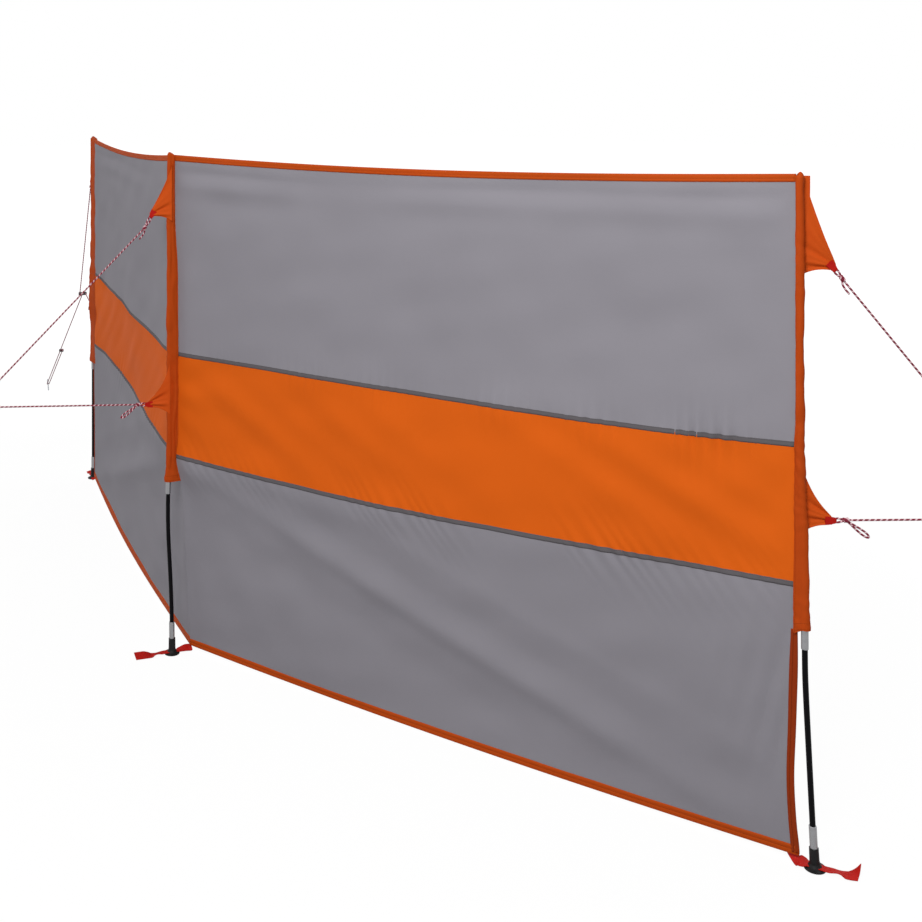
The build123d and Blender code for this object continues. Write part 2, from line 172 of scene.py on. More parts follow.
def grid_piece(name, points, u, v, material, round_columns=False, capped=False):
    """A piece whose mesh is a grid of points, rows by columns, with a quad between each four neighbours. Its
    UV map takes u along the columns and v along the rows, in metres. Columns can close on themselves, with
    end caps, and a closed piece has its faces turned outwards."""
    rows, columns = points.shape[:2]
    row = np.arange(rows - 1)[:, None]
    column = np.arange(columns if round_columns else columns - 1)[None, :]
    after = (column + 1) % columns
    quads = np.stack([row * columns + column, row * columns + after, (row + 1) * columns + after,
                      (row + 1) * columns + column], -1).reshape(-1, 4)
    faces = quads.tolist()
    corner_u = np.stack([u[column], u[column + 1], u[column + 1], u[column]], -1) + 0 * row[..., None]
    corner_v = np.stack([v[row], v[row], v[row + 1], v[row + 1]], -1) + 0 * column[..., None]
    corners = np.stack([corner_u, corner_v], -1).reshape(-1, 2)
    if capped:
        faces += [list(range(columns))[::-1], list(range((rows - 1) * columns, rows * columns))]
        ends = np.repeat([[u[0], v[0]], [u[0], v[-1]]], columns, axis=0)
        corners = np.concatenate([corners, ends])
    mesh = bpy.data.meshes.new(name)
    mesh.from_pydata(points.reshape(-1, 3).tolist(), [], faces)
    mesh.uv_layers.new(name="UVMap").data.foreach_set("uv", corners.astype(np.float32).ravel())
    mesh.polygons.foreach_set("use_smooth", np.ones(len(faces), bool))
    if capped:
        shell = bmesh.new()
        shell.from_mesh(mesh)
        bmesh.ops.recalc_face_normals(shell, faces=shell.faces)
        shell.to_mesh(mesh)
        shell.free()
    mesh.materials.append(material)
    piece = bpy.data.objects.new(name, mesh)
    bpy.context.scene.collection.objects.link(piece)
    return piece


def pole_tube(name, pole, low, high, radius, material, slot):
    """A round tube on the pole's middle line between two heights, with a fine chamfer at both ends."""
    between = np.linspace(low, high, 42)[1:-1]
    height = np.concatenate([[low, low + TUBE_CHAMFER], between, [high - TUBE_CHAMFER, high]])
    reach = np.full(len(height), radius)
    reach[[0, -1]] -= TUBE_CHAMFER
    angle = np.linspace(0, 2 * np.pi, TUBE_SIDES, endpoint=False)
    ring = np.stack([np.cos(angle), np.sin(angle), 0 * angle], -1)
    points = pole_axis(pole, height)[:, None] + reach[:, None, None] * ring[None]
    around = np.linspace(0, 2 * np.pi * radius, TUBE_SIDES + 1)
    tube = grid_piece(name, points, around, height, material, round_columns=True, capped=True)
    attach(tube, "root")
    return tube


fibreglass, tree, shader = new_finish("black_fibreglass", screen_colour(7, 6, 9),
                                      {"Specular IOR Level": 0.06})
streaks = object_noise(tree, (900, 900, 9))
vary(tree, shader, streaks, "Roughness", 0.30, 0.52)
tint(tree, shader, streaks, screen_colour(4, 3, 6), screen_colour(13, 12, 15))
emboss(tree, shader, streaks, 0.0002, 0.15)
joints = (POLE_BOTTOM, *JOINT_HEIGHTS, POLE_TOP)
for pole in POLES:
    tubes = [pole_tube(f"{pole}_section_{number}", pole, low + JOINT_GAP, high - JOINT_GAP, POLE_RADIUS,
                       fibreglass, "pole_fibreglass")
             for number, (low, high) in enumerate(zip(joints[:-1], joints[1:]))]
    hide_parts(f"{pole}_pole_sections")

# Ferrules
# Short drawn aluminium tubes over the joints of the pole and round its lower end, with fine rings left by the
# drawing die. One shows under each sleeve and one above each foot.
FERRULE_RADIUS = 0.00785
TIP_FERRULE_RADIUS = 0.00825
FERRULE_HALF = 0.030
TIP_FERRULE_TOP = 0.095
aluminium, tree, shader = new_finish("drawn_aluminium", screen_colour(150, 150, 152), {"Metallic": 0.75})
rings = object_noise(tree, (70, 70, 2600))
vary(tree, shader, rings, "Roughness", 0.34, 0.52)
tint(tree, shader, rings, screen_colour(124, 124, 127), screen_colour(168, 168, 170))
emboss(tree, shader, rings, 0.0001, 0.2)
for pole in POLES:
    spans = [(POLE_BOTTOM, TIP_FERRULE_TOP, TIP_FERRULE_RADIUS)]
    spans += [(joint - FERRULE_HALF, joint + FERRULE_HALF, FERRULE_RADIUS) for joint in JOINT_HEIGHTS]
    tubes = [pole_tube(f"{pole}_ferrule_{number}", pole, *span, aluminium, "ferrule_metal")
             for number, span in enumerate(spans)]
    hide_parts(f"{pole}_pole_ferrules")

# Feet
# Black nylon mouldings: a thin round flange on the ground, a skirt and a boss with a socket for the pole, and
# a slot at the skirt for the strap. The mould leaves a fine matt grain.
def finish_node(name, material):
    """Gives a CAD node a material in place of its plain one."""
    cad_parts[name].data.materials.clear()
    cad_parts[name].data.materials.append(material)


nylon, tree, shader = new_finish("moulded_nylon", screen_colour(18, 17, 18), {"Specular IOR Level": 0.18})
grain = object_noise(tree, (1400, 1400, 1400), 4.0)
vary(tree, shader, grain, "Roughness", 0.48, 0.66)
tint(tree, shader, grain, screen_colour(12, 11, 12), screen_colour(26, 25, 26))
emboss(tree, shader, grain, 0.0003, 0.25)
for pole in POLES:
    finish_node(f"{pole}_pole_foot", nylon)

# Cloth bays
# Woven polyester sewn from three strips to a bay: grey, orange and grey. It is stretched from the fold behind
# the middle pole to the sleeve on the end pole. Below the band it is drawn back to the strap of the middle
# foot, so that it folds softly along a line from the fold to the end pole's foot. Seams leave small puckers.
BAYS = ("left", "right")
CLOTH_THICKNESS = 0.0007
CLOTH_THREAD = 0.0009
FOLD_LAP = 0.0002
SLEEVE_REACH = 0.025
FOLD_REACH = 0.0267
FOLD_SETBACK = 0.058
END_SETBACK = 0.037
RIDGE_SOFTNESS = 0.08
TOP_DROPS = {"left": (0.0, 0.018, 0.024, 0.018, 0.0), "right": (0.0, 0.0128, 0.0165, 0.0105, -0.004)}
BOTTOM_SAG = {"left": 0.006, "right": 0.009}
UPPER_SEAM_DROPS = {"left": (0.004, 0.006, 0.004, 0.000, -0.003),
                    "right": (0.005, 0.007, 0.007, 0.004, -0.014)}
LOWER_SEAM_DROPS = {"left": (0.004, 0.006, 0.000, -0.004, -0.004),
                    "right": (0.004, 0.013, 0.010, -0.004, -0.020)}
SHEET_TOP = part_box("right_upper_panel")[1].z
SHEET_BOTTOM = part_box("right_lower_panel")[0].z
BAND_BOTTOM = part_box("right_centre_band")[0].z
BAND_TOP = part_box("right_centre_band")[1].z
SLEEVE_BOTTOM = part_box("right_pole_sleeve")[0].z
SLEEVE_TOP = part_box("right_pole_sleeve")[1].z
FOLD = -FOLD_REACH * GUY_WAYS["middle"]
ALONG = {bay: (BASES[bay] - FOLD) / np.linalg.norm(BASES[bay] - FOLD) for bay in BAYS}
WIDTH = {bay: np.linalg.norm(BASES[bay] - FOLD) - SLEEVE_REACH for bay in BAYS}
FRONT = {"left": -np.cross(ALONG["left"], UP), "right": np.cross(ALONG["right"], UP)}
CORNERS = {bay: FEET[bay] - END_SETBACK * ALONG[bay] for bay in BAYS}
CORNERS["middle"] = -FOLD_SETBACK * level(255)


def soft_waves(x, y, length, seed):
    """Smooth irregular relief of about -1 to 1: the mean of ten sine waves, scaled up, that run in random
    directions with random phases and with wavelengths round the given one."""
    draw = np.random.default_rng(seed)
    way, phase = draw.uniform(0, 2 * np.pi, (2, 10))
    waves = 2 * np.pi / (length * draw.uniform(0.7, 1.6, 10))
    spread = np.multiply.outer(x, np.cos(way) * waves) + np.multiply.outer(y, np.sin(way) * waves)
    return np.sin(spread + phase).sum(-1) / np.sqrt(10)


def puckers(run, gap, pitch, reach, seed):
    """Ripples that cross a seam: a sine of the run along it, with a wandering phase and strength, that fades
    as the gap from the seam grows."""
    phase = 2 * np.pi * run / pitch + 2.4 * soft_waves(run, 0 * run, 6 * pitch, seed)
    strength = np.clip(0.60 + 0.60 * soft_waves(run, 0 * run, 11 * pitch, seed + 1), 0, 1.5)
    return np.sin(phase) * strength * np.exp(-np.abs(gap) / reach)


def relief(bay, share, height):
    """How far the cloth stands out from its stretched form, in metres: slow waves, folds that hang under the
    top edge, ripples at the two seams, drags that fan out from both ends of the band, and soft stripes that
    run beside the lower fold. It dies away at the bound edges."""
    seed = 100 * BAYS.index(bay)
    run = share * WIDTH[bay]
    under_top = SHEET_TOP - height
    above = np.clip((height - BAND_TOP) / 0.05, 0, 1)
    below = np.clip((BAND_BOTTOM - height) / 0.05, 0, 1)
    slow = 0.0032 * soft_waves(run, height, 0.62, seed + 1)
    slow = slow + 0.0012 * soft_waves(run, 1.4 * height, 0.21, seed + 2)
    hanging = 0.60 + 0.45 * soft_waves(run, 0 * run, 0.9, seed + 3)
    dip = under_top - 0.018 * np.sin(np.pi * share) * soft_waves(run, 0 * run, 1.3, seed + 4)
    folds = -0.0046 * hump(dip, 0.050, 0.015) + 0.0036 * hump(dip, 0.090, 0.020)
    folds = folds - 0.0018 * hump(dip, 0.135, 0.024)
    far = np.clip(share, 0, 1) ** 1.3
    seams = 0.0026 * puckers(run, height - BAND_TOP, 0.030, 0.036, seed + 5) * (0.25 + far)
    seams += 0.0013 * puckers(run, height - BAND_TOP, 0.019, 0.022, seed + 7) * far
    slanted = run + 0.8 * (height - BAND_BOTTOM)
    seams += 0.0027 * puckers(slanted, height - BAND_BOTTOM, 0.038, 0.048, seed + 6) * (0.35 + 0.8 * far)
    crossing = soft_waves(0.5 * run + 0.87 * height, 0 * run, 0.085, seed + 8)
    seams += 0.0016 * crossing * hump(height, 0.76, 0.13)
    fan_near = np.arctan2(height - 0.78, run + 0.12)
    drags = 0.0022 * np.sin(13 * fan_near + 0.6) * np.exp(-run / 0.30)
    to_end = WIDTH[bay] - run
    fan_far = np.arctan2(height - 0.95, to_end + 0.16)
    drags += 0.0018 * np.sin(11 * fan_far + 0.4) * np.exp(-to_end / 0.34)
    low_drags = 0.0030 * np.sin(2 * np.pi * (to_end + 0.25 * height) / 0.052) * np.exp(-to_end / 0.07)
    high_drags = 0.0024 * np.sin(2 * np.pi * (to_end - 0.3 * height) / 0.044) * np.exp(-to_end / 0.05)
    drags += low_drags * hump(height, 0.34, 0.17) + high_drags * hump(height, 1.12, 0.12)
    fall = np.clip((BAND_BOTTOM - height) / (BAND_BOTTOM - SHEET_BOTTOM), 0, 1)
    beside = share - fall
    stripes = 0.0072 * hump(beside, -0.010, 0.060) + 0.0020 * hump(beside, 0.27, 0.05)
    stripes -= 0.0030 * hump(beside, 0.13, 0.06) + 0.0014 * hump(beside, -0.22, 0.08)
    stripes -= 0.0060 * hump(beside, -0.24, 0.16)
    stripes *= below * np.sin(np.pi * np.clip((share + fall) / 2, 0, 1))
    stood = slow + folds * above * hanging + seams + drags * (1 - 0.6 * above) + stripes
    held = ((under_top, 0.020), (height - SHEET_BOTTOM, 0.030), (run - 0.002, 0.030), (to_end - 0.012, 0.025))
    for gap, reach in held:
        stood = stood * (1 - np.exp(-np.clip(gap, 0, None) / reach))
    return stood


def between_lines(height, lines):
    """A straight change with the height between values on the bottom edge, the two seams and the top edge."""
    levels = (SHEET_BOTTOM, BAND_BOTTOM, BAND_TOP, SHEET_TOP)
    rise = [np.clip((height - low) / (high - low), 0, 1) for low, high in zip(levels[:-1], levels[1:])]
    return lines[0] + sum(part * (after - before) for part, before, after in zip(rise, lines[:-1], lines[1:]))


def belly(bay, share, height):
    """How far the cloth is blown forwards: a half sine along the bay that grows downwards on the right. The
    left bay stands forward beside the middle pole, as a rise and fall of exponentials, and is hollow towards
    its end."""
    arch = np.sin(np.pi * np.clip(share, 0, 1))
    if bay == "right":
        return 0.009 * arch * (1 - 0.75 * height / SHEET_TOP)
    run = np.clip(share, 0, 1)
    rising = 1 - np.exp(-run / 0.04)
    lower = 0.014 * rising * np.exp(-run / 0.12) - 0.024 * hump(run, 0.70, 0.33) * (1 - run**12)
    upper = 0.024 * rising * np.exp(-run / 0.40) - 0.006 * hump(run, 0.85, 0.20)
    return between_lines(height, (0.020 * arch, lower * (1 - run**12), upper * (1 - run**12), 0 * run))


def droop(bay, share, height):
    """How far the cloth hangs below its level lines: a parabola along the bottom edge, curves of the fourth
    degree through five even places along the two seams and the top, and a straight change between them."""
    places = np.linspace(0, 1, 5)
    upwards = (LOWER_SEAM_DROPS, UPPER_SEAM_DROPS, TOP_DROPS)
    curves = [np.polyval(np.polyfit(places, drops[bay], 4), share) for drops in upwards]
    return between_lines(height, (4 * BOTTOM_SAG[bay] * share * (1 - share), *curves))


def edge_shift(height):
    """How far the cloth's end is drawn towards the pole: into the sleeve above its hem, and below it by the
    bent tape, which stands out at the hem and at the foot and is drawn in between."""
    free = 0.0080 * step(height, 0.38, 0.08) - 0.0050 * hump(height, 0.18, 0.09)
    free = free + 0.0046 * hump(height, 0.02, 0.045)
    return np.where(height > SLEEVE_BOTTOM, 0.0065 + 0.0005 * step(height, 0.70, 0.05), free)


def on_cloth(bay, share, height, lift=0.0):
    """Points on a bay's cloth by the share of its width from the fold, the height before it droops, and the
    lift off its middle surface. Above the band's lower seam the cloth is upright, with its fold drawn to the
    pole near the top. Below it, two flat triangles meet along the line from the fold to the end's foot,
    rounded off where they meet: the weights of the corners are smooth maxima of (share - fall) and
    (fall - share)."""
    share, height, lift = np.broadcast_arrays(share, height, lift)
    run, front = WIDTH[bay], FRONT[bay]
    fall = (BAND_BOTTOM - height) / (BAND_BOTTOM - SHEET_BOTTOM)
    sunk = np.clip(fall, 0, None)
    middle = np.clip((share + sunk) / 2, 0, 1)
    soft = RIDGE_SOFTNESS * 4 * middle * (1 - middle)
    gap = share - sunk
    bend = np.sqrt(gap**2 + soft**2)
    to_end = np.where(sunk > 0, (gap + bend) / 2, share)
    to_fold_foot = np.where(sunk > 0, (bend - gap) / 2, 0)
    to_end_foot = share - to_end
    end_top = ALONG[bay] * run
    end_foot = CORNERS[bay] - FOLD
    fold_foot = CORNERS["middle"] - FOLD
    place = FOLD + to_end[..., None] * end_top + to_end_foot[..., None] * end_foot
    place = place + to_fold_foot[..., None] * fold_foot
    drawn = 0.0085 * step(height, 0.56, 0.05) + 0.0100 * step(height, 1.24, 0.07)
    drawn = drawn + 0.0090 * hump(height, 0.575, 0.06)
    place = place + (drawn * (1 - share))[..., None] * GUY_WAYS["middle"]
    place = place + (edge_shift(height) * np.clip(share, 0, 1.1) ** 24)[..., None] * ALONG[bay]
    stood = relief(bay, share, height) + belly(bay, share, height) + lift
    return place + (height - droop(bay, share, height))[..., None] * UP + stood[..., None] * front


def thicken(piece, thickness):
    """Gives a sheet its thickness, half to each side. Its cut edges, which only one face uses, are sharp."""
    mesh = piece.data
    edge_of_corner = np.empty(len(mesh.loops), np.int32)
    mesh.loops.foreach_get("edge_index", edge_of_corner)
    cut = np.bincount(edge_of_corner, minlength=len(mesh.edges)) == 1
    mesh.attributes.new("sharp_edge", "BOOLEAN", "EDGE").data.foreach_set("value", cut)
    solid = piece.modifiers.new("thickness", "SOLIDIFY")
    solid.thickness = thickness
    solid.offset = 0
    solid.use_even_offset = False


def seat(piece, node):
    """Makes a piece ride on the standing frame in place of a CAD node, which it hides."""
    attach(piece, "root")
    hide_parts(node)


def cut_place(tree):
    """Coordinates on a piece's UV map, in metres along and across its cloth or cord."""
    return add_node(tree, "ShaderNodeUVMap", uv_map="UVMap").outputs["UV"]


def bands(tree, place, pitch, way):
    """Bands of 0 to 1 that follow each other along an axis of the UV map at a pitch in metres."""
    scale = 2 * np.pi / (20 * pitch)
    wave = add_node(tree, "ShaderNodeTexWave", {"Vector": place, "Scale": scale}, bands_direction=way)
    return wave.outputs["Fac"]


def woven(name, colour, thread):
    """Cloth: threads that cross at a pitch on the UV map, a faint crumple, and slow changes of tone."""
    tone = np.array(colour[:3])
    material, tree, shader = new_finish(name, colour, {"Roughness": 0.70, "Specular IOR Level": 0.10})
    place = cut_place(tree)
    crossing = reckon(tree, "MULTIPLY", bands(tree, place, thread, "X"), bands(tree, place, thread, "Y"))
    crumple = object_noise(tree, (30, 30, 30), 3.0)
    slow = object_noise(tree, (3.1, 3.1, 4.3), 2.0)
    tint(tree, shader, slow, (*(tone * 0.95), 1), (*np.clip(tone * 1.05, 0, 1), 1))
    fine = add_node(tree, "ShaderNodeBump", {"Height": crossing, "Distance": 0.00008, "Strength": 0.35})
    broad = add_node(tree, "ShaderNodeBump", {"Height": crumple, "Distance": 0.0020, "Strength": 0.20,
                                              "Normal": fine.outputs["Normal"]})
    tree.links.new(broad.outputs["Normal"], shader.inputs["Normal"])
    return material


grey_cloth = woven("grey_polyester", screen_colour(142, 139, 146), CLOTH_THREAD)
orange_cloth = woven("orange_polyester", screen_colour(220, 96, 16), CLOTH_THREAD)
strips = {
    "upper_panel": (BAND_TOP, SHEET_TOP, 86, grey_cloth, "grey_cloth"),
    "centre_band": (BAND_BOTTOM, BAND_TOP, 52, orange_cloth, "orange_cloth"),
    "lower_panel": (SHEET_BOTTOM, BAND_BOTTOM, 86, grey_cloth, "grey_cloth"),
}
PANEL_COLUMNS = {"left": 181, "right": 361}
for bay in BAYS:
    for strip, (low, high, rows, material, slot) in strips.items():
        share = np.linspace(-FOLD_LAP / WIDTH[bay], 1, PANEL_COLUMNS[bay])
        height = np.linspace(low, high, rows)
        points = on_cloth(bay, share[None, :], height[:, None])
        panel = grid_piece(f"{bay}_{strip}_cloth", points, share * WIDTH[bay], height, material)
        thicken(panel, CLOTH_THICKNESS)
        seat(panel, f"{bay}_{strip}")

# Seam tapes
# Dark grey tape sewn over the two seams between the strips of cloth, along the front, with a row of stitches
# by each edge. It takes the puckers of the seam.
TAPE_WIDTH = 0.012
TAPE_THREAD = 0.0008
STITCH_PITCH = 0.0034
STITCH_SHARE = 0.74
STITCH_HALF = 0.0005


def stitched(name, colour, thread, lengthwise=(), crosswise=()):
    """Woven tape or cloth with rows of stitches: short dashes along the UV map's v at given places of u, and
    along u at given places of v."""
    material = woven(name, colour, thread)
    tree = material.node_tree
    shader = tree.nodes["Principled BSDF"]
    split = add_node(tree, "ShaderNodeSeparateXYZ", {"Vector": cut_place(tree)})
    stitch = None
    for places, fixed, running in ((lengthwise, "X", "Y"), (crosswise, "Y", "X")):
        part = reckon(tree, "FRACT", reckon(tree, "DIVIDE", split.outputs[running], STITCH_PITCH))
        dash = reckon(tree, "LESS_THAN", part, STITCH_SHARE)
        for spot in places:
            near = reckon(tree, "COMPARE", split.outputs[fixed], spot, STITCH_HALF)
            mark = reckon(tree, "MULTIPLY", near, dash)
            stitch = mark if stitch is None else reckon(tree, "MAXIMUM", stitch, mark)
    plain = shader.inputs["Base Color"].links[0].from_socket
    thread_tone = add_node(tree, "ShaderNodeMix", data_type="RGBA")
    tree.links.new(stitch, thread_tone.inputs["Factor"])
    tree.links.new(plain, thread_tone.inputs["A"])
    thread_tone.inputs["B"].default_value = (*(np.array(colour[:3]) * 0.55), 1)
    tree.links.new(thread_tone.outputs["Result"], shader.inputs["Base Color"])
    under = shader.inputs["Normal"].links[0].from_socket
    raised = add_node(tree, "ShaderNodeBump", {"Height": stitch, "Distance": 0.0004, "Strength": 0.5,
                                               "Normal": under})
    tree.links.new(raised.outputs["Normal"], shader.inputs["Normal"])
    return material


def ring_length(profile):
    """The distance run round a closed profile, with the way back to its start."""
    return path_length(np.concatenate([profile, profile[:1]]))


seam_tape = stitched("grey_seam_tape", screen_colour(98, 94, 97), TAPE_THREAD, lengthwise=(0.0022, 0.0107))
tape_half = TAPE_WIDTH / 2
tape_profile = np.array([(-tape_half, 0.00040), (-tape_half, 0.00085), (-0.6 * tape_half, 0.00115),
                         (0, 0.00125), (0.6 * tape_half, 0.00115), (tape_half, 0.00085),
                         (tape_half, 0.00040), (0, 0.00040)])
for bay in BAYS:
    share = np.linspace(0.001, 0.999, 290)
    for seam in (BAND_BOTTOM, BAND_TOP):
        points = on_cloth(bay, share[:, None], seam + tape_profile[None, :, 0], tape_profile[None, :, 1])
        name = "lower" if seam == BAND_BOTTOM else "upper"
        tape = grid_piece(f"{bay}_{name}_seam_tape", points, ring_length(tape_profile), share * WIDTH[bay],
                          seam_tape, round_columns=True, capped=True)
        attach(tape, "root")
    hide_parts(f"{bay}_seam_tapes")

# Edge bindings
# Dark orange tape folded over the top, bottom and end edges of the cloth and sewn through with one row of
# stitches, which draws a groove along it. The end tape is narrower, starts under the sleeve and turns out a
# little at the foot. The end tape is coloured darker than the top and bottom tape, as painted shade.
TOP_BINDING_WIDTH = 0.0175
BOTTOM_BINDING_WIDTH = {"left": 0.026, "right": 0.020}
END_BINDING_WIDTH = 0.0165
BINDING_LIFT = 0.0012
binding_cloth = stitched("orange_binding", screen_colour(184, 72, 14), TAPE_THREAD,
                         lengthwise=(0.0135, 0.0750))
# The end tape's darker colour is painted shade: a shaded copy of the binding's colour.
shaded_end_cloth = stitched("end_binding_painted_shade", screen_colour(146, 52, 14), TAPE_THREAD, lengthwise=(0.0135,))


def folded_profile(width):
    """A U of tape round an edge, open inwards: distances in from the edge and lifts off the cloth."""
    turn = np.linspace(-np.pi / 2, np.pi / 2, 7)
    outer = np.stack([-0.0009 * np.cos(turn), BINDING_LIFT * np.sin(turn)], -1)
    face = np.array([(0.25, 1.35), (0.44, 1.20), (0.50, 0.75), (0.56, 1.20), (0.78, 1.35)])
    face = face * (width, BINDING_LIFT)
    inner = np.array([(width, 0.0010), (width, 0.00045), (0.0004, 0.00045), (0.0004, -0.00045),
                      (width, -0.00045), (width, -0.0010)])
    return np.concatenate([outer, face, inner, face[::-1] * (1, -1)])


for bay in BAYS:
    share = np.linspace(0, 1, 260)[:, None]
    hem_height = SLEEVE_BOTTOM - 0.0006 + 0.97 * droop(bay, 1.0, SLEEVE_BOTTOM)
    rise = np.linspace(SHEET_BOTTOM + 0.004, hem_height, 100)[:, None]
    widths = (TOP_BINDING_WIDTH, BOTTOM_BINDING_WIDTH[bay], END_BINDING_WIDTH)
    top, bottom, end = (folded_profile(width) for width in widths)
    end_in = end[None, :, 0] * (1 - 0.32 * step(rise, 0.470, 0.045)) - 0.0016 * hump(rise, 0.32, 0.16)
    top_points = on_cloth(bay, share, SHEET_TOP - top[None, :, 0], top[None, :, 1])
    bottom_points = on_cloth(bay, share, SHEET_BOTTOM + bottom[None, :, 0], bottom[None, :, 1])
    end_points = on_cloth(bay, 1 - end_in / WIDTH[bay], rise, 1.2 * end[None, :, 1])
    along = share * WIDTH[bay]
    edges = {
        "top_binding": (top_points, along, top, binding_cloth),
        "bottom_binding": (bottom_points, along, bottom, binding_cloth),
        "end_binding": (end_points, rise, end, shaded_end_cloth),
    }
    for edge, (points, run, profile, material) in edges.items():
        tape = grid_piece(f"{bay}_{edge}_tape", points, ring_length(profile), run[:, 0], material,
                          round_columns=True, capped=True)
        seat(tape, f"{bay}_{edge}")

# Sleeves
# Pockets of dark orange cloth sewn to the end of each bay and, on the middle pole, to the fold. Each wraps
# round the pole, is sewn flat behind it, hemmed below and closed at the top, where the pole's end lifts it.
# It lies close about the pole near the top, shows the ferrule inside and hangs loose towards its hem.
SLEEVE_RADIUS = 0.0080
CAP_HEIGHT = 0.012
SLEEVE_THICKNESS = 0.0008


def teardrop(count, radius, tail):
    """The section of a pocket: round about the pole, with two straight sides that run back to the tail. The
    straight sides touch the circle where the cosine of the angle from the tail is radius / tail. Given as
    points spaced evenly round it, with outward directions, from the tail and round to it again."""
    touch = np.pi - np.arccos(radius / tail)
    angle = np.linspace(-touch, touch, 60)
    arc = np.stack([radius * np.cos(angle), radius * np.sin(angle)], -1)
    line = np.concatenate([[(-tail, -0.0007)], arc, [(-tail, 0.0007)]])
    run = path_length(line)
    even = np.linspace(0, run[-1], count)
    points = np.stack([np.interp(even, run, line[:, 0]), np.interp(even, run, line[:, 1])], -1)
    heading = np.gradient(points, axis=0)
    outward = np.stack([heading[:, 1], -heading[:, 0]], -1)
    return points, outward / np.linalg.norm(outward, axis=1, keepdims=True), even


section, outward, round_section = teardrop(64, SLEEVE_RADIUS, SLEEVE_REACH)
sleeve_cloth = stitched("orange_sleeve", screen_colour(180, 68, 13), CLOTH_THREAD,
                        lengthwise=(0.005, round_section[-1] - 0.005),
                        crosswise=(SLEEVE_BOTTOM + 0.004, SLEEVE_BOTTOM + 0.018))
for number, pole in enumerate(POLES):
    height = np.concatenate([np.linspace(SLEEVE_BOTTOM, SLEEVE_TOP - CAP_HEIGHT, 160),
                             SLEEVE_TOP - CAP_HEIGHT * np.cos(np.linspace(0.12, np.pi / 2, 9))])
    if pole == "middle":
        root = on_cloth("right", 0, height)
    else:
        tuck = 0.0030 * step(-height, -0.95, 0.10) + 0.0015 * step(-height, -0.62, 0.05)
        tuck = tuck + (0.045 if pole == "left" else 0)
        root = on_cloth(pole, 1 - tuck / WIDTH[pole], height)
    axis = pole_axis(pole, height)
    back = (root - axis) * (1, 1, 0)
    tail = np.linalg.norm(back, axis=1)
    out = -back / tail[:, None]
    across = np.cross(UP, out)
    over = np.clip((height - (SLEEVE_TOP - CAP_HEIGHT)) / CAP_HEIGHT, 0, 1)
    draw_in = np.sqrt(1 - 0.93 * over**2)
    low = np.clip((SLEEVE_BOTTOM + 0.11 - height) / 0.11, 0, 1)
    hem = np.clip((SLEEVE_BOTTOM + 0.021 - height) / 0.002, 0, 1)
    girth = 0.0069 + 0.0015 * sum(np.exp(-(((height - joint) / 0.038) ** 8)) for joint in JOINT_HEIGHTS)
    slack = {"left": 0.002, "middle": 0.001, "right": 0.0005}[pole] * step(-height, -0.80, 0.10)
    grid_u, grid_v = np.meshgrid(round_section, height)
    wrinkles = soft_waves(1.3 * grid_u, grid_v, 0.055, 40 + number)
    wander = 2 * soft_waves(grid_u, grid_v, 0.09, 50 + number)
    slant = np.sin(2 * np.pi * (grid_v / 0.026 + grid_u / 0.05) + wander)
    crinkled = low + 0.8 * hump(height, 0.79, 0.07) + 0.8 * hump(height, 0.90, 0.05)
    crinkled = crinkled + 0.6 * hump(height, 1.33, 0.07)
    sway = 2.2 * soft_waves(grid_u, 0.25 * grid_v, 0.06, 60 + number)
    pleats = np.sin(5 * np.pi * grid_u / round_section[-1] + sway)
    swell = 0.0006 * (1 + wrinkles) + 0.0007 * (1 + pleats) + 0.0009 * (1 + slant) * crinkled[:, None]
    swell = np.clip(swell + 0.0007 * hem[:, None], 0, 0.004) * (1 - 0.8 * over[:, None])
    x = section[None, :, 0] * (girth / SLEEVE_RADIUS)[:, None]
    y = section[None, :, 1] * (girth / SLEEVE_RADIUS)[:, None]
    stretch = ((tail - 0.005) / (SLEEVE_REACH * girth / SLEEVE_RADIUS - 0.005))[:, None]
    loose = np.clip(x, 0, None) * (slack / girth)[:, None]
    x = np.where(x < -0.005, -0.005 + (x + 0.005) * stretch, x) + loose
    if pole == "left":
        bulge = step(height, 0.70, 0.02) * step(-height, -0.94, 0.02)
        puffed = y * (1 + 0.9 * (1 - over))[:, None] + np.clip(y, 0, None) * (0.9 * bulge)[:, None]
        y = puffed - 0.0035 * (1 - over)[:, None]
    x = (x + outward[None, :, 0] * swell) * draw_in[:, None]
    y = (y + outward[None, :, 1] * swell) * draw_in[:, None]
    tail_share = np.clip(-x / tail[:, None], 0, 1)
    lean = 0.005 * over[:, None] * tail_share
    if pole == "right":
        lean = lean + (low**2)[:, None] * (0.014 * tail_share - 0.006)
    points = axis[:, None] + x[..., None] * out[:, None] + y[..., None] * across[:, None]
    points = points - lean[..., None] * UP
    sleeve = grid_piece(f"{pole}_sleeve_cloth", points, round_section, height, sleeve_cloth)
    thicken(sleeve, SLEEVE_THICKNESS)
    seat(sleeve, f"{pole}_pole_sleeve")

# Foot straps
# Red polypropylene webbing sewn under the lower corner of the cloth. It is gathered through the slot of the
# foot and spreads on both sides. Its cut end lies loose on the ground, with a corner turned up on the right.
STRAP_WIDTH = 0.034
SLOT_WIDTH = 0.021
STRAP_THICKNESS = 0.0013
RIB_PITCH = 0.0022
TWILL_PITCH = 0.0012
SEWN_RUNS = {"left": 0.012, "middle": 0.004, "right": 0.034}
TAIL_RUNS = {"left": 0.092, "middle": 0.114, "right": 0.087}


